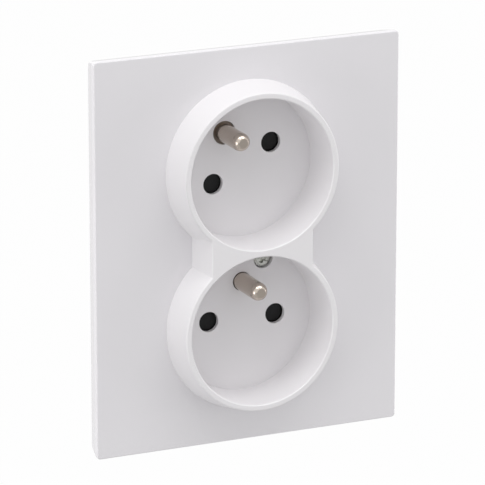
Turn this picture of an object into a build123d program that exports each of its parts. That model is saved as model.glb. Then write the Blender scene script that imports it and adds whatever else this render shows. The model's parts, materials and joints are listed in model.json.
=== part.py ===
from build123d import *
import os
from math import atan2, cos, degrees, hypot, radians, sin

# Double flush socket outlet, two poles and a fixed earth pin in each recess.
# X is to the right, Y goes into the wall and Z is up. The wall face is Y = 0, and the
# origin is midway between the two screws of the wall box. A height is a distance from
# the wall face towards the room, so what sits inside the wall box has negative heights.

# Clearances
fit_gap = 0.15
running_gap = 0.05
shutter_gap = 0.25

# Plug and contact standard
contact_radius = 9.5
plug_pin_radius = 2.4
plug_pin_length = 19.0
earth_pin_radius = 2.4
earth_pin_offset = 10.0
upper_angle = 30.0
lower_angle = 0.0

# Cover plate
plate_width = 86.0
plate_height = 106.0
plate_depth = 6.3
plate_panel = 2.0
plate_band = 1.6
plate_undercut = 1.0
plate_wall = 1.8
plate_corner = 0.9
plate_edge = 0.35
plate_rib = 1.6
plate_rib_depth = 1.5
relief_end = 32.0
relief_depth = 0.5

# Socket cover with its two cups
floor_radius = 19.6
recess_depth = 13.2
cup_draft = 0.5
rim_width = 1.5
rim_overlap = 1.2
cover_rise = 8.9
cover_flare = 1.8
bridge_base = 32.1
floor_thickness = 1.2
cup_wall = 1.3
seat_lip = 0.6
spigot_wall = 1.0
spigot_depth = 2.5
groove_rise = 1.5
rim_round = 0.4
mouth_chamfer = 0.25
chamfer_angle = 45.0
contact_hole = 2.75
upper_pin_hole = 3.15
lower_pin_hole = 2.55

# Cover screw and its square nut
screw_angle = 68.5
screw_inset = 0.15
screw_turn = -25.0
screw_head_radius = 2.5
screw_head_height = 1.8
screw_shank_radius = 1.5
screw_length = 9.0
screw_sink = 0.3
screw_slot = 0.75
screw_slot_depth = 0.8
screw_chamfer = 0.3
head_gap = 0.25
boss_wall = 0.75
boss_seat = 1.2
nut_width = 5.5
nut_height = 2.0

# Steel support frame and its rivets
frame_thickness = 1.0
frame_margin = 6.0
frame_bar = 7.0
frame_corner = 4.0
frame_lip_height = 2.0
frame_lip_length = 40.0
box_screw_spacing = 60.0
box_slot_width = 3.8
box_slot_length = 6.0
rivet_line = 24.0
rivet_pitch = 24.0
rivet_radius = 1.0
rivet_head_radius = 1.6
rivet_head_height = 0.8
rivet_chamfer = 0.4
rivet_length = 5.0

# Shutter tray
tray_proud = 0.1
tray_half_width = 21.8
tray_depth = 2.5
tray_wall = 0.6
tray_corner = 3.0
pocket_floor = 1.0
tray_hole_gap = 0.2
tray_screw_across = {"upper": 10.6, "lower": -10.8}
tray_screw_drop = {"upper": -16.4, "lower": 13.4}
tray_screw_radius = 1.25
tray_screw_head = 2.2
tray_screw_head_height = 1.5
tray_screw_length = 9.0

# Shutters and their leaf springs
shutter_travel = 36.0
wing_radius = 3.2
hub_radius = 5.0
stud_radius = 2.0
ramp_size = 0.8
leaf_thickness = 0.3
leaf_grip = 1.6
leaf_angle = 126.0
leaf_lean = 0.2

# Earth bar and pins
strip_thickness = 0.8
earth_strip_width = 5.0
earth_side_run = -17.2
earth_cross_rise = 10.5
earth_top_rise = 1.0
earth_knee = -6.0
pin_pad = 3.4
pin_tip_flat = 1.2
pin_tip_drop = 1.0
pin_relief = 0.2
pin_rivet_radius = 1.5
pin_rivet_head = 2.2
pin_rivet_height = 0.25

# Contact bars and clips
bar_run = 17.5
bar_width = 4.0
bar_height = -15.2
clip_wall = 0.85
clip_grip = 0.02
clip_slot = 1.0
clip_slot_share = 0.75
clip_lead_in = 0.4
clip_gap = 0.3
contact_pad = 3.5
pin_room = 0.6

# Push-in terminals
tab_width = 10.0
earth_tab_width = 8.0
tab_reach = 6.5
terminal_depth = 4.6
neutral_terminal = -9.0
earth_terminal = -8.5
wire_radius = 1.7
wire_funnel = 2.1
wire_pitch = 5.0
earth_wire_pitch = 4.6
wire_line = 1.4
release_line = 3.5
release_width = 1.0
release_length = 3.0
spring_thickness = 0.4
spring_bend = 0.7

# Base housing
base_half_width = 26.0
base_wall = 1.25
chamber_wall = 1.2
chamber_round = 2.0
base_rear_wall = 2.5
base_round = 1.5
block_wall = 2.5
block_corner = 2.0
gauge_length = 11.0
gauge_width = 2.0
gauge_depth = 0.6
gauge_place = (4.0, -8.0)
pin_end_room = 0.8
screw_end_room = 1.0

# Heights that follow from the stack
tray_front = frame_thickness + tray_proud
floor_front = tray_front + floor_thickness
rim_height = floor_front + recess_depth
plate_front = rim_height - cover_rise
plate_rear = plate_front - plate_depth
panel_rear = plate_front - plate_panel
spigot_rear = plate_front - spigot_depth
seat_height = floor_front - screw_sink - screw_head_height
boss_rear = seat_height - boss_seat
tray_rear = -tray_depth
pocket_base = tray_rear + pocket_floor
bar_rear = bar_height - strip_thickness
clip_front = tray_rear - clip_gap
chamber_rear = min(bar_rear, floor_front - plug_pin_length) - pin_end_room
tab_end = bar_rear - tab_reach
terminal_rear = tab_end - fit_gap
base_rear = terminal_rear - base_rear_wall
step_rear = chamber_rear - base_rear_wall

# Sizes that follow from their neighbours
mouth_radius = floor_radius + cup_draft
rim_radius = mouth_radius + rim_width
cone_radius = rim_radius + cover_flare
socket_spacing = 2 * rim_radius - rim_overlap
socket_centres = {"upper": socket_spacing / 2, "lower": -socket_spacing / 2}
socket_turns = {"upper": upper_angle, "lower": lower_angle}
pin_holes = {"upper": upper_pin_hole, "lower": lower_pin_hole}
clip_radius = plug_pin_radius + clip_grip + clip_wall
cone_angle = degrees(atan2(cover_flare, cover_rise))
mouth_angle = degrees(atan2(cup_draft, recess_depth))
boss_radius = screw_head_radius + head_gap + boss_wall
wing_half_angle = degrees(atan2(wing_radius + 2 * shutter_gap, contact_radius))
pocket_radius = contact_radius + wing_radius + 2 * shutter_gap
neck_width = 2 * (hub_radius + shutter_gap) * sin(radians(wing_half_angle)) - 2 * shutter_gap
funnel_angle = degrees(atan2(wire_funnel - wire_radius, base_rear_wall))


def level(height):
    """Plane parallel to the wall at a height, with X to the right and Z up."""
    return Plane.XZ.offset(height)


def socket_level(name, height):
    """Plane at a socket's centre, turned with the line of its contacts."""
    along = Vector(1, 0, 0).rotate(Axis.Y, -socket_turns[name])
    return Plane(origin=(0, -height, socket_centres[name]), x_dir=along, z_dir=(0, -1, 0))


def socket_point(name, along, across, extra_turn=0):
    """Place in the wall's plane of a point given in a socket's own turned axes."""
    turn = radians(socket_turns[name] + extra_turn)
    x = along * cos(turn) - across * sin(turn)
    z = along * sin(turn) + across * cos(turn)
    return (x, socket_centres[name] + z)


def figure_eight(radius, waist):
    """Circles on both socket centres, joined by a straight-sided waist."""
    for centre in socket_centres.values():
        with Locations((0, centre)):
            Circle(radius)
    Rectangle(waist, socket_spacing)


def strip(points, width):
    """Flat strip of even width along a run of points, with round ends."""
    for start, end in zip(points, points[1:]):
        run = Vector(*end) - Vector(*start)
        middle = (Vector(*end) + Vector(*start)) / 2
        turn = degrees(atan2(run.Y, run.X))
        with Locations(Location(middle, (0, 0, turn))):
            SlotCenterToCenter(run.length, width)


def sector(radius, start, sweep):
    """Slice of a disc about the origin."""
    with BuildSketch() as slice_face:
        with BuildLine():
            arc = CenterArc((0, 0), radius, start, sweep)
            Polyline(arc @ 1, (0, 0), arc @ 0)
        make_face()
    return slice_face.sketch


contact_points = {
    (name, pole): socket_point(name, side * contact_radius, 0)
    for name in socket_centres
    for pole, side in (("neutral", -1), ("live", 1))
}
pin_points = {name: socket_point(name, 0, earth_pin_offset) for name in socket_centres}
chamber_half = contact_pad + fit_gap
chamber_reach = chamber_round + max(
    hypot(abs(x) + chamber_half - chamber_round, abs(z) + chamber_half - chamber_round)
    for x, z in contact_points.values()
)
wing_reach = max(
    hypot(*socket_point(name, side * contact_radius, 0, -turn)) + wing_radius
    for name in socket_centres
    for side in (-1, 1)
    for turn in (0, shutter_travel)
)
base_radius = max(chamber_reach + chamber_wall, wing_reach + shutter_gap + base_wall)
tray_radius = base_radius - base_wall - fit_gap
tray_half_height = pin_points["upper"][1] + pin_pad + fit_gap + tray_wall
frame_width = box_screw_spacing + 2 * frame_margin
frame_height = 2 * (tray_half_height + fit_gap + frame_bar)
rivet_points = [
    (x, z) for x in (-rivet_line, rivet_line) for z in (-rivet_pitch / 2, rivet_pitch / 2)
]
tray_screw_points = [
    (tray_screw_across[name], centre + tray_screw_drop[name])
    for name, centre in socket_centres.items()
]
screw_distance = floor_radius - screw_head_radius - head_gap - screw_inset
screw_place = (
    screw_distance * cos(radians(screw_angle)),
    socket_centres["lower"] + screw_distance * sin(radians(screw_angle)),
)

earth_cross_run = pin_points["lower"][1] + earth_cross_rise
earth_path = (
    pin_points["lower"],
    (earth_knee, earth_cross_run),
    (earth_side_run, earth_cross_run),
    (earth_side_run, pin_points["upper"][1] + earth_top_rise),
    pin_points["upper"],
)
bar_paths = {
    pole: (
        contact_points["upper", pole],
        (side * bar_run, contact_points["upper", pole][1] - (bar_run - contact_radius)),
        (side * bar_run, contact_points["lower", pole][1] + bar_run - contact_radius),
        contact_points["lower", pole],
    )
    for pole, side in (("neutral", -1), ("live", 1))
}

# Each terminal is drawn in a plane that starts on its tab's inner face: x points from
# the tab to its spring, y to the room.
tab_face = bar_run + bar_width / 2 - strip_thickness
earth_tab_face = earth_cross_run + earth_strip_width / 2
terminal_starts = {
    "live": ((tab_face, 0, 0), Vector(-1, 0, 0), tab_width),
    "neutral": ((-tab_face, 0, neutral_terminal), Vector(1, 0, 0), tab_width),
    "earth": ((earth_terminal, 0, earth_tab_face), Vector(0, 0, 1), earth_tab_width),
}
wire_pitches = {"live": wire_pitch, "neutral": wire_pitch, "earth": earth_wire_pitch}


def terminal_plane(pole):
    """Plane of a terminal's profile, through the middle of its tab."""
    start, inward, _ = terminal_starts[pole]
    return Plane(origin=start, x_dir=inward, z_dir=inward.cross(Vector(0, -1, 0)))


def terminal_point(pole, inward_shift, sideways):
    """Place in the wall's plane of a point beside a terminal's tab."""
    point = terminal_plane(pole).from_local_coords(Vector(inward_shift, 0, sideways))
    return (point.X, point.Z)


def add_tab(pole, top):
    """Tab of a bar, bent towards the rear of the base."""
    with BuildSketch(terminal_plane(pole)) as profile:
        with Locations((-strip_thickness, tab_end)):
            Rectangle(strip_thickness, top - tab_end, align=Align.MIN)
    extrude(profile.sketch, amount=terminal_starts[pole][2] / 2, both=True)


# Glossy cover plate: a crisp front band, sides that draw in behind it, and a hollow rear
with BuildPart() as cover_plate:
    with BuildSketch(level(plate_front - plate_band)):
        RectangleRounded(plate_width, plate_height, plate_corner)
    extrude(amount=plate_band)
    fillet(cover_plate.faces().sort_by(Axis.Y)[0].edges(), plate_edge)
    with BuildSketch(level(plate_front - plate_band)):
        RectangleRounded(plate_width, plate_height, plate_corner)
    with BuildSketch(level(plate_rear)):
        RectangleRounded(
            plate_width - 2 * plate_undercut, plate_height - 2 * plate_undercut, plate_corner
        )
    loft()
    inner_width = plate_width - 2 * (plate_undercut + plate_wall)
    inner_height = plate_height - 2 * (plate_undercut + plate_wall)
    with BuildSketch(level(plate_rear)):
        RectangleRounded(inner_width, inner_height, plate_corner)
    extrude(amount=plate_depth - plate_panel, mode=Mode.SUBTRACT)
    with BuildSketch(level(panel_rear)):
        figure_eight(cone_radius + plate_rib, bridge_base + 2 * plate_rib)
        Rectangle(plate_rib, inner_height)
        with GridLocations(0, socket_spacing, 1, 2):
            Rectangle(inner_width, plate_rib)
    extrude(amount=-plate_rib_depth)
    opening_lip = fit_gap - seat_lip
    with BuildSketch(level(plate_rear)):
        figure_eight(cone_radius + opening_lip, bridge_base + 2 * opening_lip)
    extrude(amount=plate_depth, mode=Mode.SUBTRACT)
    with BuildSketch(level(plate_rear)):
        with Locations((relief_end, plate_height / 2)):
            Rectangle(plate_width, 2 * (plate_undercut + plate_wall), align=(Align.MAX, Align.CENTER))
    extrude(amount=relief_depth, mode=Mode.SUBTRACT)

# Satin socket cover: two tapered collars and their bridge in one moulding, with two cups
with BuildPart() as socket_cover:
    for centre in socket_centres.values():
        with BuildSketch(level(plate_front)):
            with Locations((0, centre)):
                Circle(cone_radius)
        extrude(amount=cover_rise, taper=cone_angle)
    with BuildSketch(level(plate_front)):
        Rectangle(bridge_base, socket_spacing)
    extrude(amount=cover_rise, taper=cone_angle)
    fillet(socket_cover.faces().sort_by(Axis.Y)[0].edges(), rim_round)
    with BuildSketch(level(spigot_rear)):
        figure_eight(cone_radius - seat_lip, bridge_base - 2 * seat_lip)
    extrude(amount=spigot_depth)
    with BuildSketch(level(spigot_rear)):
        figure_eight(
            cone_radius - seat_lip - spigot_wall, bridge_base - 2 * (seat_lip + spigot_wall)
        )
        for centre in socket_centres.values():
            with Locations((0, centre)):
                Circle(floor_radius + cup_wall, mode=Mode.SUBTRACT)
    extrude(amount=spigot_depth + groove_rise, mode=Mode.SUBTRACT)
    with BuildSketch(level(tray_front)):
        for centre in socket_centres.values():
            with Locations((0, centre)):
                Circle(floor_radius + cup_wall)
    extrude(amount=plate_front - tray_front)
    for centre in socket_centres.values():
        with BuildSketch(level(floor_front)):
            with Locations((0, centre)):
                Circle(floor_radius)
        extrude(amount=recess_depth, taper=-mouth_angle, mode=Mode.SUBTRACT)
        with BuildSketch(level(rim_height)):
            with Locations((0, centre)):
                Circle(mouth_radius + mouth_chamfer)
        extrude(amount=-mouth_chamfer, taper=chamfer_angle, mode=Mode.SUBTRACT)
    with BuildSketch(level(boss_rear)):
        with Locations(screw_place):
            Circle(boss_radius)
    extrude(amount=floor_front - boss_rear)
    with BuildSketch(level(seat_height)):
        with Locations(screw_place):
            Circle(screw_head_radius + head_gap)
    extrude(amount=screw_head_height + screw_sink, mode=Mode.SUBTRACT)
    with BuildSketch(level(boss_rear)):
        with Locations(screw_place):
            Circle(screw_shank_radius + fit_gap)
        for point in contact_points.values():
            with Locations(point):
                Circle(contact_hole)
        for name, point in pin_points.items():
            with Locations(point):
                Circle(pin_holes[name])
    extrude(amount=floor_front - boss_rear, mode=Mode.SUBTRACT)

# Combination-head screw that clamps the cover and the plate
with BuildPart() as cover_screw:
    with BuildSketch(level(seat_height)):
        with Locations(screw_place):
            Circle(screw_head_radius)
    extrude(amount=screw_head_height)
    chamfer(cover_screw.faces().sort_by(Axis.Y)[0].edges(), screw_chamfer)
    with BuildSketch(level(seat_height + screw_head_height)):
        with Locations(Location((*screw_place, 0), (0, 0, screw_turn))):
            Rectangle(2 * screw_head_radius, screw_slot)
            Rectangle(screw_slot, screw_head_radius)
    extrude(amount=-screw_slot_depth, mode=Mode.SUBTRACT)
    with BuildSketch(level(seat_height)):
        with Locations(screw_place):
            Circle(screw_shank_radius)
    extrude(amount=-screw_length)

# Square nut under the tray
with BuildPart() as cover_nut:
    with BuildSketch(level(tray_rear)):
        with Locations(screw_place):
            RectangleRounded(nut_width, nut_width, nut_width / 12)
            Circle(screw_shank_radius + running_gap / 2, mode=Mode.SUBTRACT)
    extrude(amount=-nut_height)

# Steel support frame, with upturned side lips and slots for the box screws
with BuildPart() as support_frame:
    with BuildSketch(level(0)):
        RectangleRounded(frame_width, frame_height, frame_corner)
        RectangleRounded(
            2 * (tray_half_width + fit_gap),
            2 * (tray_half_height + fit_gap),
            tray_corner + fit_gap,
            mode=Mode.SUBTRACT,
        )
        with GridLocations(box_screw_spacing, 0, 2, 1):
            SlotOverall(box_slot_length, box_slot_width, mode=Mode.SUBTRACT)
        with Locations(*rivet_points):
            Circle(rivet_radius + running_gap, mode=Mode.SUBTRACT)
    extrude(amount=frame_thickness)
    with BuildSketch(level(0)):
        with GridLocations(frame_width - frame_thickness, 0, 2, 1):
            Rectangle(frame_thickness, frame_lip_length)
    extrude(amount=frame_thickness + frame_lip_height)

# Rivets that hold the frame on the base
with BuildPart() as frame_rivets:
    with BuildSketch(level(frame_thickness)):
        with Locations(*rivet_points):
            Circle(rivet_head_radius)
    extrude(amount=rivet_head_height)
    chamfer(frame_rivets.faces().group_by(Axis.Y)[0].edges(), rivet_chamfer)
    with BuildSketch(level(frame_thickness)):
        with Locations(*rivet_points):
            Circle(rivet_radius)
    extrude(amount=-rivet_length)


def leaf_line(width):
    """Leaf spring from its grip in the tray to the side of the shutter's left wing."""
    tip = Vector(-contact_radius, wing_radius + shutter_gap + leaf_thickness)
    root = Vector(pocket_radius + leaf_grip / 2, 0).rotate(Axis.Z, leaf_angle)
    with BuildSketch() as leaf:
        with BuildLine():
            TangentArc(root, tip, tangent=(leaf_lean, -1))
        trace(line_width=width)
    return leaf.sketch


# Insulating tray: pockets and pivot studs for the shutters, a groove for the earth bar
with BuildPart() as shutter_tray:
    with BuildSketch(level(0)):
        RectangleRounded(2 * tray_half_width, 2 * tray_half_height, tray_corner)
    extrude(amount=tray_front)
    with BuildSketch(level(0)):
        Circle(tray_radius)
        Rectangle(2 * tray_half_width, 2 * tray_radius, mode=Mode.INTERSECT)
    extrude(amount=-tray_depth)
    for name in socket_centres:
        with BuildSketch(socket_level(name, pocket_base)):
            Circle(hub_radius + shutter_gap)
            for rest in (0, 180):
                start = rest - shutter_travel - wing_half_angle
                add(sector(pocket_radius, start, shutter_travel + 2 * wing_half_angle))
            add(leaf_line(leaf_thickness + 2 * fit_gap))
        extrude(amount=tray_front - pocket_base, mode=Mode.SUBTRACT)
        with BuildSketch(socket_level(name, pocket_base)):
            Circle(stud_radius)
        extrude(amount=tray_front - pocket_base - fit_gap)
    with BuildSketch(level(tray_front)):
        strip(earth_path, earth_strip_width + 2 * fit_gap)
        for point in pin_points.values():
            with Locations(point):
                Circle(pin_pad + fit_gap)
    extrude(amount=-strip_thickness, mode=Mode.SUBTRACT)
    with BuildSketch(level(tray_front)):
        for point in pin_points.values():
            with Locations(point):
                Circle(pin_rivet_head + fit_gap)
    extrude(amount=-strip_thickness - pin_rivet_height - fit_gap, mode=Mode.SUBTRACT)
    with BuildSketch(level(tray_front)):
        with Locations(screw_place):
            Circle(boss_radius + fit_gap)
    extrude(amount=boss_rear - fit_gap - tray_front, mode=Mode.SUBTRACT)
    with BuildSketch(level(tray_front)):
        with Locations(*tray_screw_points):
            Circle(tray_screw_head + fit_gap)
    extrude(amount=-tray_screw_head_height, mode=Mode.SUBTRACT)
    with BuildSketch(level(tray_rear)):
        for point in contact_points.values():
            with Locations(point):
                Circle(contact_hole + tray_hole_gap)
        with Locations(screw_place):
            Circle(screw_shank_radius + fit_gap)
        with Locations(*tray_screw_points):
            Circle(tray_screw_radius + fit_gap)
        with Locations(terminal_point("earth", -strip_thickness / 2, 0)):
            Rectangle(earth_tab_width + 2 * fit_gap, strip_thickness + 2 * fit_gap)
    extrude(amount=tray_front - tray_rear, mode=Mode.SUBTRACT)

# Screws that hold the tray on the base
with BuildPart() as tray_screws:
    with BuildSketch(level(tray_front)):
        with Locations(*tray_screw_points):
            Circle(tray_screw_head)
            Rectangle(2 * tray_screw_head, screw_slot, mode=Mode.SUBTRACT)
    extrude(amount=-tray_screw_head_height)
    with BuildSketch(level(tray_front - screw_slot_depth)):
        with Locations(*tray_screw_points):
            Circle(tray_screw_head)
    extrude(amount=screw_slot_depth - tray_screw_head_height)
    with BuildSketch(level(tray_front - tray_screw_head_height)):
        with Locations(*tray_screw_points):
            Circle(tray_screw_radius)
    extrude(amount=-tray_screw_length)


def make_shutter(name):
    """Shutter that turns on its stud, with a ramped wing over each contact hole."""
    with BuildPart() as shutter:
        with BuildSketch(socket_level(name, pocket_base + shutter_gap)):
            Circle(hub_radius)
            Rectangle(2 * contact_radius, neck_width)
            with GridLocations(2 * contact_radius, 0, 2, 1):
                Circle(wing_radius)
            Circle(stud_radius + running_gap, mode=Mode.SUBTRACT)
        extrude(amount=tray_front - pocket_base - 2 * shutter_gap)
        front_edges = shutter.faces().sort_by(Axis.Y)[0].edges().filter_by(GeomType.CIRCLE)
        chamfer(front_edges.filter_by(lambda edge: abs(edge.radius - wing_radius) < 0.01), ramp_size)
    return shutter


def make_shutter_spring(name):
    """Leaf spring gripped in the tray, resting against the shutter's left wing."""
    with BuildPart() as spring:
        with BuildSketch(socket_level(name, pocket_base + shutter_gap)):
            add(leaf_line(leaf_thickness))
        extrude(amount=tray_front - pocket_base - 2 * shutter_gap)
    return spring


def make_earth_pin(name):
    """Turned earth pin with a rounded tip and a relieved root, riveted through the earth bar."""
    tip = rim_height - pin_tip_drop
    bar_back = tray_front - strip_thickness
    steps = (
        (tip, floor_front, earth_pin_radius),
        (floor_front, tray_front, earth_pin_radius - pin_relief),
        (tray_front, bar_back, pin_rivet_radius),
        (bar_back, bar_back - pin_rivet_height, pin_rivet_head),
    )
    with BuildPart() as pin:
        for front, rear, radius in steps:
            with BuildSketch(level(rear)):
                with Locations(pin_points[name]):
                    Circle(radius)
            extrude(amount=front - rear)
        fillet(pin.faces().sort_by(Axis.Y)[0].edges(), earth_pin_radius - pin_tip_flat)
    return pin


# Earth bar: one stamped strip under both pins, with a tab to the earth terminal
with BuildPart() as earth_bar:
    with BuildSketch(level(tray_front)):
        strip(earth_path, earth_strip_width)
        for point in pin_points.values():
            with Locations(point):
                Circle(pin_pad)
        for point in pin_points.values():
            with Locations(point):
                Circle(pin_rivet_radius + running_gap, mode=Mode.SUBTRACT)
    extrude(amount=-strip_thickness)
    add_tab("earth", tray_front)


def make_bar(pole):
    """Contact bar: stamped strip that joins two clips, with a tab to its terminal."""
    ends = [contact_points[name, pole] for name in socket_centres]
    with BuildPart() as bar:
        with BuildSketch(level(bar_height)):
            strip(bar_paths[pole], bar_width)
            with Locations(*ends):
                Circle(contact_pad)
            with Locations(*ends):
                Circle(plug_pin_radius + pin_room, mode=Mode.SUBTRACT)
        extrude(amount=-strip_thickness)
        add_tab(pole, bar_height)
    return bar


def make_clip(name, pole):
    """Split sleeve that grips a plug pin, standing on its bar."""
    clip_length = clip_front - bar_height
    slot_length = clip_slot_share * clip_length
    x, z = contact_points[name, pole]
    with BuildPart() as clip:
        with BuildSketch(level(bar_height)):
            with Locations((x, z)):
                Circle(clip_radius)
                Circle(plug_pin_radius + clip_grip, mode=Mode.SUBTRACT)
        extrude(amount=clip_length)
        mouth = clip.faces().sort_by(Axis.Y)[0].edges().sort_by(SortBy.LENGTH)[0]
        chamfer(mouth, clip_lead_in)
        with BuildSketch(level(clip_front)):
            with Locations((x, z)):
                Rectangle(clip_slot, 3 * clip_radius)
        extrude(amount=-slot_length, mode=Mode.SUBTRACT)
    return clip


def make_wire_spring(pole):
    """Push-in terminal spring: one leg on the chamber wall, one leaning on the tab."""
    rear = terminal_rear + fit_gap
    anchor = terminal_depth - fit_gap - spring_thickness / 2
    top = bar_rear - spring_thickness
    with BuildPart() as spring:
        with BuildSketch(terminal_plane(pole)):
            with BuildLine():
                FilletPolyline(
                    (fit_gap + spring_thickness / 2, bar_rear - 0.75 * tab_reach),
                    (anchor - 2 * spring_bend, top),
                    (anchor, top),
                    (anchor, rear),
                    radius=spring_bend,
                )
            trace(line_width=spring_thickness)
        extrude(amount=terminal_starts[pole][2] / 2 - fit_gap, both=True)
    return spring


# Base housing: moulded body in the wall box, with chambers open to the tray, and a terminal
# block that stands out of its rear and carries a strip gauge for the wires
with BuildPart() as base_housing:
    with BuildSketch(level(0)):
        Circle(base_radius)
        Rectangle(2 * base_half_width, 2 * base_radius, mode=Mode.INTERSECT)
    extrude(amount=step_rear)
    fillet(base_housing.faces().sort_by(Axis.Y)[-1].edges(), base_round)
    block_top = earth_tab_face + terminal_depth + block_wall
    block_bottom = neutral_terminal - tab_width / 2 - fit_gap - block_wall
    block_width = 2 * (bar_run + bar_width / 2 + fit_gap + block_wall)
    with BuildSketch(level(step_rear)):
        with Locations((0, (block_top + block_bottom) / 2)):
            RectangleRounded(block_width, block_top - block_bottom, block_corner)
    extrude(amount=base_rear - step_rear)
    fillet(base_housing.faces().sort_by(Axis.Y)[-1].edges(), base_round)
    with BuildSketch(level(base_rear)):
        with Locations(gauge_place):
            SlotOverall(gauge_length, gauge_width)
    extrude(amount=gauge_depth, mode=Mode.SUBTRACT)
    with BuildSketch(level(0)):
        Circle(tray_radius + fit_gap)
        Rectangle(
            2 * (tray_half_width + fit_gap), 2 * base_radius, mode=Mode.INTERSECT
        )
    extrude(amount=tray_rear, mode=Mode.SUBTRACT)
    with BuildSketch(level(0)):
        with Locations(*contact_points.values()):
            RectangleRounded(2 * chamber_half, 2 * chamber_half, chamber_round)
    extrude(amount=chamber_rear, mode=Mode.SUBTRACT)
    with BuildSketch(level(0)):
        for path in bar_paths.values():
            strip(path, bar_width + 2 * fit_gap)
    extrude(amount=bar_rear, mode=Mode.SUBTRACT)
    for pole, (_, _, width) in terminal_starts.items():
        with BuildSketch(terminal_plane(pole)):
            with Locations((-strip_thickness - fit_gap, terminal_rear)):
                Rectangle(
                    terminal_depth + strip_thickness + fit_gap,
                    tray_rear - terminal_rear,
                    align=Align.MIN,
                )
        extrude(amount=width / 2 + fit_gap, both=True, mode=Mode.SUBTRACT)
    with BuildSketch(level(tray_rear)):
        with Locations(screw_place):
            Rectangle(nut_width + 2 * fit_gap, nut_width + 2 * fit_gap)
    extrude(amount=-nut_height - fit_gap, mode=Mode.SUBTRACT)
    with BuildSketch(level(0)):
        with Locations(screw_place):
            Circle(screw_shank_radius + fit_gap)
    extrude(amount=seat_height - screw_length - screw_end_room, mode=Mode.SUBTRACT)
    with BuildSketch(level(0)):
        with Locations(*tray_screw_points):
            Circle(tray_screw_radius + running_gap)
    tray_screw_end = tray_front - tray_screw_head_height - tray_screw_length
    extrude(amount=tray_screw_end - screw_end_room, mode=Mode.SUBTRACT)
    with BuildSketch(level(0)):
        with Locations(*rivet_points):
            Circle(rivet_radius + running_gap)
    extrude(amount=frame_thickness - rivet_length - screw_end_room, mode=Mode.SUBTRACT)
    for pole, pitch in wire_pitches.items():
        for shift in (-pitch / 2, pitch / 2):
            with BuildSketch(level(base_rear)):
                with Locations(terminal_point(pole, wire_line, shift)):
                    Circle(wire_funnel)
            extrude(amount=base_rear_wall, taper=funnel_angle, mode=Mode.SUBTRACT)
        with BuildSketch(terminal_plane(pole)):
            with Locations((release_line, base_rear)):
                Rectangle(release_width, base_rear_wall, align=(Align.CENTER, Align.MIN))
        extrude(amount=release_length / 2, both=True, mode=Mode.SUBTRACT)

pieces = {
    "cover_plate": cover_plate,
    "socket_cover": socket_cover,
    "cover_screw": cover_screw,
    "cover_nut": cover_nut,
    "support_frame": support_frame,
    "frame_rivets": frame_rivets,
    "shutter_tray": shutter_tray,
    "tray_screws": tray_screws,
    "earth_bar": earth_bar,
    "base_housing": base_housing,
}
for name in socket_centres:
    pieces[f"shutter_{name}"] = make_shutter(name)
    pieces[f"shutter_spring_{name}"] = make_shutter_spring(name)
    pieces[f"earth_pin_{name}"] = make_earth_pin(name)
for pole in bar_paths:
    pieces[f"{pole}_bar"] = make_bar(pole)
    for name in socket_centres:
        pieces[f"{pole}_clip_{name}"] = make_clip(name, pole)
for pole in terminal_starts:
    pieces[f"{pole}_wire_spring"] = make_wire_spring(pole)

os.makedirs("parts", exist_ok=True)
for name, piece in pieces.items():
    piece.part.label = name
    export_step(piece.part, f"parts/{name}.step")
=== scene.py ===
"""Looks of a white double socket outlet: its finishes, small metal parts, light and camera.

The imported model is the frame, and every moulded and stamped piece in it keeps its solid and
gets a finish here. The three screws, the two earth pins and the two leaf springs are worked
out again as surfaces, with the recesses, threads, flats and bends that their solids lack.
Lengths are metres, unless a name ends in _mm.
"""

import json
import logging
import math
from dataclasses import dataclass
from enum import Enum

import bmesh
import bpy
import numpy as np
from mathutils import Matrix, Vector


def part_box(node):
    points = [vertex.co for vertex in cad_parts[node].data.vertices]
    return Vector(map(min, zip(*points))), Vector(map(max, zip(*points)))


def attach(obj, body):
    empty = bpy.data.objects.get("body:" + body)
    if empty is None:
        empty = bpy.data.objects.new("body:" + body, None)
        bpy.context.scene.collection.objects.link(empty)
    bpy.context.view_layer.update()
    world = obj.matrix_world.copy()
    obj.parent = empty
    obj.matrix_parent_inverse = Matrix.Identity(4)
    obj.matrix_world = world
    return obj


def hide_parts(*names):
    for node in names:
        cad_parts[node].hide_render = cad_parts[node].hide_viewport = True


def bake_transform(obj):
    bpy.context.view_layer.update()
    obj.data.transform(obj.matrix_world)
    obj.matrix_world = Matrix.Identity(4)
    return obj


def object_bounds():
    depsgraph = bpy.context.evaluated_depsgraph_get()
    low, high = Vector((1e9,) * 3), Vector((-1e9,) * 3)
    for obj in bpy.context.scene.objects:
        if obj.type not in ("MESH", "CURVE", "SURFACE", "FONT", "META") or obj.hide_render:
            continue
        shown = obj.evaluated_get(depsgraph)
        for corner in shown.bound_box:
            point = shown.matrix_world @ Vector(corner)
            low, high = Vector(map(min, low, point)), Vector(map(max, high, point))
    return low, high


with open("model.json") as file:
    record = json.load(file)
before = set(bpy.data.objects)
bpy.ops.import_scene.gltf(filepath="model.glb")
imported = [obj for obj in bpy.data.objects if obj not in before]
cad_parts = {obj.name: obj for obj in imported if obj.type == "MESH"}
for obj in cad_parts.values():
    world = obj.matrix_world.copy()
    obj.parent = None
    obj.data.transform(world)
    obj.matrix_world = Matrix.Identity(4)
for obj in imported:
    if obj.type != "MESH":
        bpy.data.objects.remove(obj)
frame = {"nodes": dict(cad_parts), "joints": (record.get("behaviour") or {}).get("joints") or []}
cad_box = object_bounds()

LOG = logging.getLogger("outlet")
MM = 0.001
IMAGE_SIDE_PX = 485
SHARP_ANGLE = math.radians(30)
MERGE_GAP = 0.0001 * MM
FULL_TURN = 2 * math.pi

# Steps of the noise behind the clouds of a colour and behind the fine marks.
CLOUD_DETAIL = 2.0
MARKS_DETAIL = 3.0

# Places of the colour sockets in Blender's Mix node, whose names repeat.
MIX_FACTOR, MIX_FIRST, MIX_SECOND, MIX_RESULT = 0, 6, 7, 2


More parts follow.
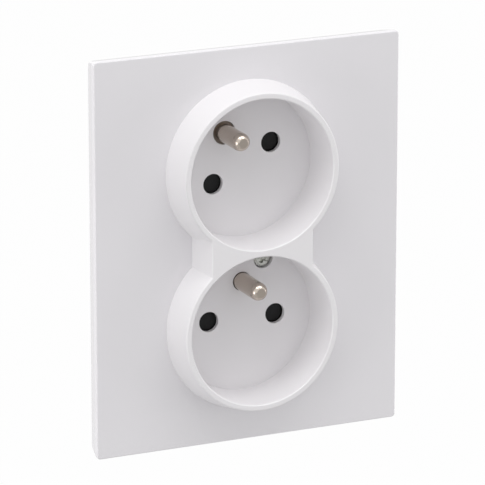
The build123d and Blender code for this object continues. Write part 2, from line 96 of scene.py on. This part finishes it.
def linear(code: str) -> tuple[float, float, float, float]:
    """Turns an sRGB hex code into linear light.

    Each channel is divided by 12.92 near black, and above that has 0.055 added, is divided
    by 1.055 and raised to the power 2.4.

    Args:
        code: Colour as "#RRGGBB".

    Returns:
        Linear red, green and blue, and an alpha of one.
    """
    channels = np.array([int(code[i : i + 2], 16) for i in (1, 3, 5)]) / 255
    bright = ((channels + 0.055) / 1.055) ** 2.4
    red, green, blue = np.where(channels > 0.04045, bright, channels / 12.92)
    return (float(red), float(green), float(blue), 1.0)


def per_metre(size_mm: float) -> float:
    """Texture scale at which a pattern repeats every size_mm millimetres."""
    return 1 / (size_mm * MM)


def add_node(
    tree: bpy.types.NodeTree, kind: str, inputs: dict | None = None, **settings: object
) -> bpy.types.Node:
    """Adds one node, sets its properties and fills or links its inputs.

    Args:
        tree: Node tree that the node joins.
        kind: Blender's name for the type of node.
        inputs: Name or number of an input, with its value or the socket to link from.
        settings: Properties of the node itself.

    Returns:
        The new node.
    """
    node = tree.nodes.new(kind)
    for name, value in settings.items():
        setattr(node, name, value)
    for name, value in (inputs or {}).items():
        if isinstance(value, bpy.types.NodeSocket):
            tree.links.new(value, node.inputs[name])
        else:
            node.inputs[name].default_value = value
    return node


def toward(azimuth: float, elevation: float) -> Vector:
    """Unit vector from the object to a place round it.

    Args:
        azimuth: Degrees to the right of the front, which faces -Y.
        elevation: Degrees above the horizon.

    Returns:
        The direction in the frame of the object.
    """
    a, e = math.radians(azimuth), math.radians(elevation)
    return Vector((math.sin(a) * math.cos(e), -math.cos(a) * math.cos(e), math.sin(e)))


class Marks(Enum):
    """Fine marks that making leaves on a surface, each with the stretch of its noise."""

    GRAIN = ("grain", (1.0, 1.0, 1.0))
    RINGS = ("rings", (0.02, 1.0, 0.02))
    STREAKS = ("streaks", (1.0, 1.0, 0.04))
    CRYSTALS = ("crystals", (1.0, 1.0, 1.0))

    @property
    def stretch(self) -> tuple[float, float, float]:
        """Scale of the noise along X, Y and Z."""
        return self.value[1]


@dataclass(frozen=True)
class Finish:
    """Surface of one material, with a clouded colour and fine marks.

    The colour runs between two tones over clouds, and the marks shift the roughness and
    raise the surface.
    """

    name: str
    colour: str
    cloud_colour: str
    cloud_mm: float
    marks: Marks
    marks_mm: float
    marks_height_mm: float
    roughness: float
    roughness_spread: float
    metallic: float = 0.0
    ior: float = 1.5

    def marks_height(
        self, tree: bpy.types.NodeTree, place: bpy.types.NodeSocket
    ) -> bpy.types.NodeSocket:
        """Adds the nodes of the fine marks.

        Args:
            tree: Node tree of the material.
            place: Object coordinates.

        Returns:
            Socket with the height of the marks, from zero to one.
        """
        scale = per_metre(self.marks_mm)
        if self.marks is Marks.CRYSTALS:
            inputs = {"Vector": place, "Scale": scale}
            return add_node(tree, "ShaderNodeTexVoronoi", inputs).outputs["Color"]
        stretched = add_node(
            tree, "ShaderNodeMapping", {"Vector": place, "Scale": self.marks.stretch}
        )
        inputs = {"Vector": stretched.outputs[0], "Scale": scale, "Detail": MARKS_DETAIL}
        return add_node(tree, "ShaderNodeTexNoise", inputs).outputs[0]

    def material(self) -> bpy.types.Material:
        """Makes the material.

        Returns:
            A material that reads object coordinates.
        """
        made = bpy.data.materials.new(self.name)
        made.use_nodes = True
        tree = made.node_tree
        tree.nodes.clear()
        place = add_node(tree, "ShaderNodeTexCoord").outputs["Object"]
        clouds = add_node(
            tree,
            "ShaderNodeTexNoise",
            {"Vector": place, "Scale": per_metre(self.cloud_mm), "Detail": CLOUD_DETAIL},
        )
        colour = add_node(
            tree,
            "ShaderNodeMix",
            {
                MIX_FACTOR: clouds.outputs[0],
                MIX_FIRST: linear(self.colour),
                MIX_SECOND: linear(self.cloud_colour),
            },
            data_type="RGBA",
        )
        height = self.marks_height(tree, place)
        rough = add_node(
            tree,
            "ShaderNodeMapRange",
            {
                "Value": height,
                "To Min": self.roughness - self.roughness_spread,
                "To Max": self.roughness + self.roughness_spread,
            },
        )
        raised = add_node(
            tree, "ShaderNodeBump", {"Height": height, "Distance": self.marks_height_mm * MM}
        )
        surface = add_node(
            tree,
            "ShaderNodeBsdfPrincipled",
            {
                "Base Color": colour.outputs[MIX_RESULT],
                "Roughness": rough.outputs[0],
                "Normal": raised.outputs[0],
                "Metallic": self.metallic,
                "IOR": self.ior,
            },
        )
        add_node(tree, "ShaderNodeOutputMaterial", {"Surface": surface.outputs[0]})
        return made


# Each finish stands for a material slot of the record, apart from that of the earth strip,
# which shares the slot of the pins.
FINISHES = {
    # Polished mould: a clear gloss that the faint ripple of the skin softens.
    "plate_white": Finish(
        name="gloss_moulded_abs",
        colour="#E9E7EA",
        cloud_colour="#E6E4E7",
        cloud_mm=28.0,
        marks=Marks.GRAIN,
        marks_mm=3.0,
        marks_height_mm=0.0003,
        roughness=0.08,
        roughness_spread=0.015,
    ),
    # Spark-eroded mould: an even satin that hides reflections. The real grain is about
    # 0.1 mm, drawn coarser so that it shows.
    "cover_white": Finish(
        name="satin_moulded_abs",
        colour="#EDEBED",
        cloud_colour="#EAE8EA",
        cloud_mm=22.0,
        marks=Marks.GRAIN,
        marks_mm=0.45,
        marks_height_mm=0.0016,
        roughness=0.3,
        roughness_spread=0.05,
    ),
    # Insulator that nobody sees in use: matt and a little yellow.
    "tray_white": Finish(
        name="matt_moulded_pbt",
        colour="#DFDED8",
        cloud_colour="#D6D5CE",
        cloud_mm=14.0,
        marks=Marks.GRAIN,
        marks_mm=0.6,
        marks_height_mm=0.003,
        roughness=0.55,
        roughness_spread=0.05,
    ),
    # Glass fibres come up at the skin: a dull grey with pale clouds.
    "base_grey": Finish(
        name="glass_filled_pbt",
        colour="#C4C6C8",
        cloud_colour="#B4B7BA",
        cloud_mm=7.0,
        marks=Marks.GRAIN,
        marks_mm=0.7,
        marks_height_mm=0.006,
        roughness=0.52,
        roughness_spread=0.08,
    ),
    # Soft black sheen of a small moulded slide.
    "shutter_black": Finish(
        name="black_polyamide",
        colour="#0C0C0D",
        cloud_colour="#070708",
        cloud_mm=5.0,
        marks=Marks.GRAIN,
        marks_mm=0.5,
        marks_height_mm=0.002,
        roughness=0.55,
        roughness_spread=0.06,
        ior=1.38,
    ),
    # Turned on a lathe, then plated: a warm grey metal with faint rings round the pin.
    "pin_nickel": Finish(
        name="turned_nickel_plate",
        colour="#CDC2B7",
        cloud_colour="#BFB4A9",
        cloud_mm=4.0,
        marks=Marks.RINGS,
        marks_mm=0.7,
        marks_height_mm=0.0012,
        roughness=0.2,
        roughness_spread=0.05,
        metallic=1.0,
    ),
    # Stamped nickel-plated strip deep in the body, a little rough: a brownish metal, painted
    # darker than its plate as painted shade in the narrow gap round the upper pin.
    "earth_strip": Finish(
        name="shade_darkened_nickel_strip",
        colour="#958A80",
        cloud_colour="#857A71",
        cloud_mm=4.0,
        marks=Marks.STREAKS,
        marks_mm=0.6,
        marks_height_mm=0.001,
        roughness=0.45,
        roughness_spread=0.06,
        metallic=1.0,
    ),
    # Barrel-plated small parts: a pale cold metal with a tumbled, uneven shine.
    "screw_zinc": Finish(
        name="bright_zinc_plate",
        colour="#DDDDD8",
        cloud_colour="#C4C6C1",
        cloud_mm=1.6,
        marks=Marks.GRAIN,
        marks_mm=0.5,
        marks_height_mm=0.002,
        roughness=0.28,
        roughness_spread=0.08,
        metallic=1.0,
    ),
    # Hot-dip sheet: grey crystals of several shades, each a few millimetres across.
    "frame_zinc": Finish(
        name="galvanised_sheet",
        colour="#B9BEC2",
        cloud_colour="#9FA5AA",
        cloud_mm=9.0,
        marks=Marks.CRYSTALS,
        marks_mm=4.5,
        marks_height_mm=0.0006,
        roughness=0.38,
        roughness_spread=0.12,
        metallic=1.0,
    ),
    # Cold-rolled strip: a yellow metal with long fine streaks.
    "contact_brass": Finish(
        name="rolled_brass",
        colour="#D2B066",
        cloud_colour="#BE9A52",
        cloud_mm=6.0,
        marks=Marks.STREAKS,
        marks_mm=0.5,
        marks_height_mm=0.001,
        roughness=0.3,
        roughness_spread=0.07,
        metallic=1.0,
    ),
    # Hardened bright strip: a darker neutral metal with rolling streaks.
    "spring_steel": Finish(
        name="bright_spring_strip",
        colour="#A6A9AB",
        cloud_colour="#8F9294",
        cloud_mm=5.0,
        marks=Marks.STREAKS,
        marks_mm=0.4,
        marks_height_mm=0.0008,
        roughness=0.26,
        roughness_spread=0.06,
        metallic=1.0,
    ),
}


@dataclass
class Dresser:
    """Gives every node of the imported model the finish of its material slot, or its own."""

    materials: dict[str, bpy.types.Material]
    # The earth bar takes the strip finish whose colour is painted darker, as painted shade for
    # its deep gap.
    own_finish: tuple[tuple[str, str], ...] = (("earth_bar", "earth_strip"),)

    def dress(self) -> None:
        """Puts the finishes on the nodes, which arrive with the names of their slots."""
        own = dict(self.own_finish)
        for name, node in sorted(frame["nodes"].items()):
            for held in node.material_slots:
                held.material = self.materials[own.get(name, held.material.name)]
                LOG.info("%s has the finish %s", name, held.material.name)


def closed_skin(
    name: str, grid: np.ndarray, ends: np.ndarray, material: bpy.types.Material
) -> bpy.types.Object:
    """Puts a turned or drawn surface into a closed mesh with outward faces.

    Each row of the grid is joined to the next and round to its own start, and the first and
    the last row each close in a fan on a point of the axis. Points that fall together, as on
    the rim of a head that is slotted, become one.

    Args:
        name: Name of the piece.
        grid: Points by row and turn round the axis, as an array of rows, columns and three.
        ends: Point that closes the first row, and the one that closes the last.
        material: Finish of the piece.

    Returns:
        The piece as an object at the origin.
    """
    rows, columns = grid.shape[:2]
    index = np.arange(rows * columns).reshape(rows, columns)
    turned = np.roll(index, -1, axis=1)
    sides = np.stack([index[:-1], index[1:], turned[1:], turned[:-1]], axis=-1).reshape(-1, 4)
    first, last = rows * columns, rows * columns + 1
    front_fan = np.stack([np.full(columns, first), index[0], turned[0]], axis=-1)
    rear_fan = np.stack([np.full(columns, last), turned[-1], index[-1]], axis=-1)
    points = np.concatenate([grid.reshape(-1, 3), ends])
    faces = sides.tolist() + front_fan.tolist() + rear_fan.tolist()
    mesh = bpy.data.meshes.new(name)
    mesh.from_pydata(points.tolist(), [], faces)
    merged = bmesh.new()
    merged.from_mesh(mesh)
    bmesh.ops.remove_doubles(merged, verts=merged.verts, dist=MERGE_GAP)
    merged.to_mesh(mesh)
    merged.free()
    mesh.shade_smooth()
    mesh.set_sharp_from_angle(angle=SHARP_ANGLE)
    mesh.materials.append(material)
    piece = bpy.data.objects.new(name, mesh)
    bpy.context.scene.collection.objects.link(piece)
    LOG.info("%s has %d faces", name, len(mesh.polygons))
    return piece


def turns(radii: np.ndarray, columns: int) -> tuple[np.ndarray, np.ndarray]:
    """Radius and angle of every point of a turned surface.

    Args:
        radii: Radius of each row.
        columns: Number of points round the axis.

    Returns:
        Two grids of rows and columns, of the radius and of the angle.
    """
    angles = np.linspace(0, FULL_TURN, columns, endpoint=False)
    return tuple(np.meshgrid(radii, angles, indexing="ij"))


def round_axis(
    front: tuple[float, float, float], radius: np.ndarray, angle: np.ndarray, depth: np.ndarray
) -> np.ndarray:
    """Points round an axis that runs along Y.

    Args:
        front: Point where the axis starts.
        radius: Distances from the axis.
        angle: Turns round the axis, from X towards Z.
        depth: Distances behind the start, in the same shape.

    Returns:
        The points, with x, y and z along a last axis.
    """
    x, y, z = front
    return np.stack([x + radius * np.cos(angle), y + depth, z + radius * np.sin(angle)], axis=-1)


@dataclass
class MachineScrew:
    """Round-headed screw with a slot and a cross in its head, and a rolled thread.

    Its axis runs along Y. The head's front is at front, and the tip at tip. Shares are of the
    length that they are named for, and rows are steps along the profile.
    """

    name: str
    axis_x: float
    axis_z: float
    front: float
    tip: float
    head_radius: float
    head_height: float
    shank_radius: float
    pitch: float
    turn: float
    slot_width: float = 0.75 * MM
    slot_depth: float = 0.8 * MM
    cross_width: float = 0.85 * MM
    cross_depth: float = 1.25 * MM
    cross_reach_share: float = 0.58
    wall_run: float = 0.12 * MM
    dome: float = 0.3 * MM
    edge_share: float = 0.35
    tip_share: float = 0.6
    thread_share: float = 0.6
    thread_flat_share: float = 0.1
    thread_start_pitches: float = 2.0
    columns: int = 128
    front_rows: int = 48
    edge_rows: int = 10
    side_rows: int = 12
    pitch_rows: int = 12
    least_shank_rows: int = 24
    tip_rows: int = 6

    def recess(self, across: np.ndarray, up: np.ndarray) -> np.ndarray:
        """Depth of the drive below the front of the head.

        A groove is full depth within half its width of its centre line and eases to nothing
        over the run of its wall. The drive is the deepest of the slot and the arms of the cross.

        Args:
            across: Distances from the axis along the slot.
            up: Distances from the axis across the slot.

        Returns:
            Depths of the same shape.
        """

        def groove(offset: np.ndarray, width: float, depth: float) -> np.ndarray:
            """Depth of a straight groove by the distance from its centre line."""
            share = np.clip((width / 2 + self.wall_run - np.abs(offset)) / self.wall_run, 0, 1)
            return depth * share * share * (3 - 2 * share)

        slot = groove(up, self.slot_width, self.slot_depth)
        reach = self.cross_reach_share * self.head_radius
        within = np.clip((reach - np.hypot(across, up)) / self.wall_run, 0, 1)
        arms = np.maximum(
            groove(up, self.cross_width, self.cross_depth),
            groove(across, self.cross_width, self.cross_depth),
        )
        return np.maximum(slot, arms * within)

    def profile(self) -> tuple[np.ndarray, np.ndarray]:
        """Radius and depth of the turned blank, from the head's middle to the tip.

        The front is a shallow dome, the edge a quarter of an ellipse, the seat a flat ring,
        and the shank a cylinder that ends in a small cone.

        Returns:
            Radii and depths, one of each for every row of the surface.
        """
        edge = self.edge_share * self.head_height
        length = self.tip - self.front
        cone_start = length - self.pitch
        top = np.linspace(0, self.head_radius - edge, self.front_rows)[1:]
        bend = np.linspace(0, math.pi / 2, self.edge_rows)[1:]
        turns_of_thread = (length - self.head_height) / self.pitch
        shank_rows = max(int(self.pitch_rows * turns_of_thread), self.least_shank_rows)
        cone_end = self.tip_share * self.shank_radius
        radii = [
            top,
            self.head_radius - edge + edge * np.sin(bend),
            np.full(self.side_rows, self.head_radius),
            np.full(shank_rows, self.shank_radius),
            np.linspace(self.shank_radius, cone_end, self.tip_rows)[1:],
        ]
        depths = [
            self.dome * (top / self.head_radius) ** 2,
            self.dome + (edge - self.dome) * (1 - np.cos(bend)),
            np.linspace(edge, self.head_height, self.side_rows + 1)[1:],
            np.linspace(self.head_height, cone_start, shank_rows),
            np.linspace(cone_start, length, self.tip_rows)[1:],
        ]
        return np.concatenate(radii), np.concatenate(depths)

    def surface(self) -> tuple[np.ndarray, np.ndarray]:
        """Points of the screw on a grid of profile rows and turns round the axis.

        The front is pushed down to the recess wherever that is deeper. On the shank the
        radius rises and falls once for each pitch along the axis, less the share of a turn, so
        that the crest climbs as a right-handed helix. The crest and the root are cut flat.

        Returns:
            Grid of points, and the two points that close it on the axis.
        """
        radii, depths = self.profile()
        radius, angle = turns(radii, self.columns)
        depth = np.broadcast_to(depths[:, None], radius.shape)
        in_head = depth < self.head_height
        along = radius * np.cos(angle - self.turn)
        across = radius * np.sin(angle - self.turn)
        sunk = np.maximum(depth, self.recess(along, across))
        run_in = self.thread_start_pitches * self.pitch
        start = np.clip((depth - self.head_height) / run_in, 0, 1)
        wave = np.abs(2 * ((depth / self.pitch + angle / FULL_TURN) % 1) - 1)
        flat = self.thread_flat_share
        cut = np.clip((1 + 2 * flat) * wave - flat, 0, 1)
        valley = self.thread_share * self.pitch * start * cut
        radius = np.where(in_head, radius, radius - valley * radius / self.shank_radius)
        depth = np.where(in_head, np.minimum(sunk, self.head_height), depth)
        grid = round_axis((self.axis_x, self.front, self.axis_z), radius, angle, depth)
        floor = float(self.recess(np.zeros(1), np.zeros(1))[0])
        ends = np.array(
            [
                [self.axis_x, self.front + floor, self.axis_z],
                [self.axis_x, self.tip, self.axis_z],
            ]
        )
        return grid, ends

    def build(self, material: bpy.types.Material) -> bpy.types.Object:
        """Makes the screw of the given material, as an object at the origin."""
        return closed_skin(self.name, *self.surface(), material)


@dataclass
class Fasteners:
    """The three screws, placed by the solids that they stand for."""

    material: bpy.types.Material
    head_height: float = 1.8 * MM
    shank_radius: float = 1.5 * MM
    pitch: float = 0.5 * MM
    turn: float = math.radians(-25)
    tray_head_radius: float = 2.2 * MM
    tray_head_height: float = 1.5 * MM
    tray_shank_radius: float = 1.25 * MM
    tray_pitch: float = 0.9 * MM
    tray_turn: float = 0.0

    def cover_screw(self) -> MachineScrew:
        """Screw that clamps the cover, in the lower recess."""
        low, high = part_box("cover_screw")
        middle = (low + high) / 2
        return MachineScrew(
            name="cover_machine_screw",
            axis_x=middle.x,
            axis_z=middle.z,
            front=low.y,
            tip=high.y,
            head_radius=(high.x - low.x) / 2,
            head_height=self.head_height,
            shank_radius=self.shank_radius,
            pitch=self.pitch,
            turn=self.turn,
        )

    def tray_screws(self) -> list[MachineScrew]:
        """Screws that hold the tray on the base, at two corners of their solids' box."""
        low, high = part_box("tray_screws")
        inset = Vector((self.tray_head_radius, 0, self.tray_head_radius))
        places = {"upper": high - inset, "lower": low + inset}
        return [
            MachineScrew(
                name=f"tray_screw_{side}",
                axis_x=place.x,
                axis_z=place.z,
                front=low.y,
                tip=high.y,
                head_radius=self.tray_head_radius,
                head_height=self.tray_head_height,
                shank_radius=self.tray_shank_radius,
                pitch=self.tray_pitch,
                turn=self.tray_turn,
            )
            for side, place in places.items()
        ]

    def build(self) -> None:
        """Builds the screws, each riding on the outlet in place of its solid."""
        stands_for = {"cover_screw": [self.cover_screw()], "tray_screws": self.tray_screws()}
        for node, screws in stands_for.items():
            for screw in screws:
                piece = screw.build(self.material)
                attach(piece, "outlet")
                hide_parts(node)


@dataclass
class EarthPins:
    """The two turned earth pins: a round nose cut off flat, a straight stem, a riveted root.

    The ends of the stem, relief and shank are depths behind the flat.
    """

    material: bpy.types.Material
    radius: float = 2.4 * MM
    flat_radius: float = 1.25 * MM
    stem_end: float = 12.2 * MM
    relief_radius: float = 2.2 * MM
    relief_end: float = 13.4 * MM
    shank_radius: float = 1.5 * MM
    shank_end: float = 14.2 * MM
    rivet_radius: float = 2.2 * MM
    columns: int = 96
    nose_rows: int = 24
    flat_rows: int = 6

    def profile(self, length: float) -> tuple[np.ndarray, np.ndarray]:
        """Radius and depth of the pin, from the edge of its flat to the rivet's rear.

        The nose is a half ball of the pin's radius, cut off where its own radius is that of
        the flat. Each step behind it is a pair of points.

        Args:
            length: Length of the pin.

        Returns:
            Radii and depths, one of each for every row of the surface.
        """
        start = math.asin(self.flat_radius / self.radius)
        bend = np.linspace(start, math.pi / 2, self.nose_rows)
        ring = np.linspace(0, self.flat_radius, self.flat_rows)[1:-1]
        steps = (
            (self.radius, self.stem_end),
            (self.relief_radius, self.stem_end),
            (self.relief_radius, self.relief_end),
            (self.shank_radius, self.relief_end),
            (self.shank_radius, self.shank_end),
            (self.rivet_radius, self.shank_end),
            (self.rivet_radius, length),
        )
        radii = [ring, self.radius * np.sin(bend), [radius for radius, _ in steps]]
        nose = self.radius * (math.cos(start) - np.cos(bend))
        depths = [np.zeros(len(ring)), nose, [depth for _, depth in steps]]
        return np.concatenate(radii), np.concatenate(depths)

    def build(self) -> None:
        """Builds the pins, each riding on the outlet in place of its solid."""
        for side in ("upper", "lower"):
            low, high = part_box(f"earth_pin_{side}")
            middle = (low + high) / 2
            radii, depths = self.profile(high.y - low.y)
            radius, angle = turns(radii, self.columns)
            depth = np.broadcast_to(depths[:, None], radius.shape)
            grid = round_axis((middle.x, low.y, middle.z), radius, angle, depth)
            ends = np.array([[middle.x, low.y, middle.z], [middle.x, high.y, middle.z]])
            pin = closed_skin(f"turned_pin_{side}", grid, ends, self.material)
            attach(pin, "outlet")
            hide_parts(f"earth_pin_{side}")


@dataclass
class LeafSprings:
    """The two leaf springs, held in the tray at their roots, each drawn as one still arc towards
    its shutter.

    Places in a recess are given as the distances from its middle along the line of its
    contacts and across that line.
    """

    material: bpy.types.Material
    thickness: float = 0.2 * MM
    root: tuple[float, float] = (-8.229 * MM, 11.326 * MM)
    tip: tuple[float, float] = (-10.4 * MM, 3.9 * MM)
    lean: tuple[float, float] = (0.2, -1.0)
    still_end: tuple[float, float] = (-9.0 * MM, 10.8 * MM)
    driven_end: tuple[float, float] = (-9.0 * MM, 2.4 * MM)
    recess_turns: tuple[tuple[str, float], ...] = (("upper", 30.0), ("lower", 0.0))
    rows: int = 32

    def arc(self) -> tuple[np.ndarray, np.ndarray]:
        """Middle line of a leaf: an arc that leaves the root along the lean and ends on the tip.

        The arc turns through twice the angle between the lean and the chord, and its radius
        is half the chord divided by the sine of that angle.

        Returns:
            Places along the line, and the direction across the leaf at each of them.
        """
        chord = np.array(self.tip) - self.root
        ahead = np.array(self.lean) / np.hypot(*self.lean)
        aside = np.array([-ahead[1], ahead[0]])
        half = math.atan2(chord @ aside, chord @ ahead)
        radius = np.hypot(*chord) / (2 * math.sin(half))
        turned = np.linspace(0, 2 * half, self.rows)[:, None]
        swing = np.sin(turned) * ahead + (1 - np.cos(turned)) * aside
        return self.root + radius * swing, np.cos(turned) * aside - np.sin(turned) * ahead

    def build(self) -> None:
        """Builds the leaves, each a still arc from its root in the tray towards its shutter."""
        pivots = {joint["name"]: joint["pos_m"] for joint in frame["joints"]}
        line, across = self.arc()
        inward = np.array([0.0, 1.0, 0.0])
        for side, degrees in self.recess_turns:
            low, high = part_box(f"shutter_spring_{side}")
            pivot = np.array(pivots[f"shutter_{side}_turn"])
            turn = math.radians(degrees)
            axes = np.array(
                [[math.cos(turn), 0, math.sin(turn)], [-math.sin(turn), 0, math.cos(turn)]]
            )
            corners = [
                pivot + (line + face * self.thickness / 2 * across) @ axes + depth * inward
                for face, depth in ((1, low.y), (1, high.y), (-1, high.y), (-1, low.y))
            ]
            grid = np.stack(corners, axis=1)
            ends = grid[[0, -1]].mean(axis=1)
            leaf = closed_skin(f"shutter_leaf_{side}", grid, ends, self.material)
            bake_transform(leaf)
            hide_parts(f"shutter_spring_{side}")


@dataclass
class SoftBox:
    """Square lamp with a wide face that looks at the middle of the object."""

    name: str
    azimuth: float
    elevation: float
    watts: float
    distance: float = 1.0
    side: float = 0.5

    def place(self) -> None:
        """Makes the lamp, out of the camera's sight."""
        data = bpy.data.lights.new(self.name, "AREA")
        data.shape = "SQUARE"
        data.size = self.side
        data.energy = self.watts
        lamp = bpy.data.objects.new(self.name, data)
        direction = toward(self.azimuth, self.elevation)
        lamp.location = direction * self.distance
        lamp.rotation_euler = direction.to_track_quat("Z", "Y").to_euler()
        lamp.visible_camera = False
        bpy.context.scene.collection.objects.link(lamp)
        LOG.info("lamp %s gives %.2f W", self.name, self.watts)


@dataclass
class Studio:
    """White room: soft lamps, an even sky and a pale floor well below the outlet.

    What gloss and metal mirror of the white is a share: that of the sky, that of the floor in
    front of the outlet, and that of the sweep which the floor becomes behind it.
    """

    lamps: tuple[SoftBox, ...]
    ambient: float
    floor_drop: float = 0.3
    floor_half: float = 6.0
    floor_colour: str = "#C4C4C4"
    floor_glow: float = 0.98
    sky_mirrored: float = 1.0
    floor_mirrored: float = 0.05
    sweep_mirrored: float = 0.5
    sweep_start: float = 0.0
    sweep_end: float = 0.4

    def seen_share(
        self, tree: bpy.types.NodeTree, mirrored: float | bpy.types.NodeSocket
    ) -> bpy.types.NodeSocket:
        """Adds nodes that tell how much of the white background a ray shows.

        The share is one for what the camera sees, the given value for what gloss, metal and
        glass show of it, and zero for the rays that light the object.

        Args:
            tree: Node tree of the world or of the floor.
            mirrored: Share of the white in gloss, metal and glass.

        Returns:
            Socket with the share.
        """
        path = add_node(tree, "ShaderNodeLightPath").outputs
        either = {0: path["Is Glossy Ray"], 1: path["Is Transmission Ray"]}
        reflection = add_node(tree, "ShaderNodeMath", either, operation="MAXIMUM").outputs[0]
        dimmed = add_node(
            tree, "ShaderNodeMath", {0: reflection, 1: mirrored}, operation="MULTIPLY"
        ).outputs[0]
        seen = {0: path["Is Camera Ray"], 1: dimmed}
        return add_node(tree, "ShaderNodeMath", seen, operation="MAXIMUM").outputs[0]

    def sky(self) -> None:
        """Makes the world: white to look at, and an even dim light on the object."""
        world = bpy.data.worlds.new("white_room")
        world.use_nodes = True
        tree = world.node_tree
        tree.nodes.clear()
        strength = add_node(
            tree,
            "ShaderNodeMapRange",
            {
                "Value": self.seen_share(tree, self.sky_mirrored),
                "To Min": self.ambient,
                "To Max": 1.0,
            },
        )
        light = add_node(
            tree,
            "ShaderNodeBackground",
            {"Color": (1.0, 1.0, 1.0, 1.0), "Strength": strength.outputs[0]},
        )
        add_node(tree, "ShaderNodeOutputWorld", {"Surface": light.outputs[0]})
        bpy.context.scene.world = world

    def floor_material(self) -> bpy.types.Material:
        """Makes the floor's material: it looks white, and still takes the outlet's shadow.

        Gloss and metal show it dim in front of the outlet, and paler behind, as a sweep is.

        Returns:
            The material.
        """
        made = bpy.data.materials.new("studio_floor")
        made.use_nodes = True
        tree = made.node_tree
        tree.nodes.clear()
        matt = add_node(tree, "ShaderNodeBsdfDiffuse", {"Color": linear(self.floor_colour)})
        glow = add_node(tree, "ShaderNodeEmission", {"Strength": 1.0})
        place = add_node(tree, "ShaderNodeTexCoord").outputs["Object"]
        spread = add_node(tree, "ShaderNodeSeparateXYZ", {"Vector": place})
        mirrored = add_node(
            tree,
            "ShaderNodeMapRange",
            {
                "Value": spread.outputs["Y"],
                "From Min": self.sweep_start,
                "From Max": self.sweep_end,
                "To Min": self.floor_mirrored,
                "To Max": self.sweep_mirrored,
            },
        )
        share = add_node(
            tree,
            "ShaderNodeMapRange",
            {"Value": self.seen_share(tree, mirrored.outputs[0]), "To Max": self.floor_glow},
        )
        mixed = add_node(
            tree,
            "ShaderNodeMixShader",
            {0: share.outputs[0], 1: matt.outputs[0], 2: glow.outputs[0]},
        )
        add_node(tree, "ShaderNodeOutputMaterial", {"Surface": mixed.outputs[0]})
        return made

    def floor(self) -> None:
        """Makes the floor as one wide square below the outlet."""
        half, level = self.floor_half, cad_box[0].z - self.floor_drop
        corners = [
            (-half, -half, level),
            (half, -half, level),
            (half, half, level),
            (-half, half, level),
        ]
        mesh = bpy.data.meshes.new("studio_floor")
        mesh.from_pydata(corners, [], [(0, 1, 2, 3)])
        mesh.materials.append(self.floor_material())
        plane = bpy.data.objects.new("studio_floor", mesh)
        bpy.context.scene.collection.objects.link(plane)

    def build(self) -> None:
        """Sets up the light."""
        self.sky()
        self.floor()
        for lamp in self.lamps:
            lamp.place()
        bpy.context.scene.view_settings.view_transform = "Standard"


@dataclass
class PhotoCamera:
    """Camera to the left of the outlet and a little above it, with a long lens."""

    azimuth: float = -24.424
    elevation: float = 16.261
    distance: float = 1081.116 * MM
    aim: tuple[float, float, float] = (-2.182 * MM, -7.5 * MM, 1.163 * MM)
    focal_px: float = 4167.167
    sensor_mm: float = 36.0

    def place(self) -> None:
        """Makes the camera, aimed so that the middle of the picture is the aim point."""
        data = bpy.data.cameras.new("photo_camera")
        data.sensor_width = self.sensor_mm
        data.lens = self.focal_px / IMAGE_SIDE_PX * self.sensor_mm
        camera = bpy.data.objects.new("photo_camera", data)
        back = toward(self.azimuth, self.elevation)
        camera.location = Vector(self.aim) + back * self.distance
        camera.rotation_euler = back.to_track_quat("Z", "Y").to_euler()
        bpy.context.scene.collection.objects.link(camera)
        bpy.context.scene.camera = camera
        LOG.info("camera at %s", [round(x, 4) for x in camera.location])


STUDIO = Studio(
    lamps=(
        SoftBox("top_left", azimuth=-45.0, elevation=65.0, watts=2.35),
        SoftBox("top_right", azimuth=40.0, elevation=65.0, watts=2.0),
        SoftBox("low_left", azimuth=-75.0, elevation=-10.0, watts=2.0),
        SoftBox("low_right", azimuth=75.0, elevation=-10.0, watts=1.75),
        SoftBox("back_left", azimuth=-130.0, elevation=10.0, watts=2.4),
    ),
    ambient=0.76,
)


def main() -> None:
    """Dresses the outlet, builds its screws, pins and springs, and sets up the picture."""
    logging.basicConfig(level=logging.INFO, format="%(name)s: %(message)s")
    materials = {slot: finish.material() for slot, finish in FINISHES.items()}
    Dresser(materials).dress()
    Fasteners(materials["screw_zinc"]).build()
    EarthPins(materials["pin_nickel"]).build()
    LeafSprings(materials["spring_steel"]).build()
    STUDIO.build()
    PhotoCamera().place()


if __name__ == "__main__":
    main()
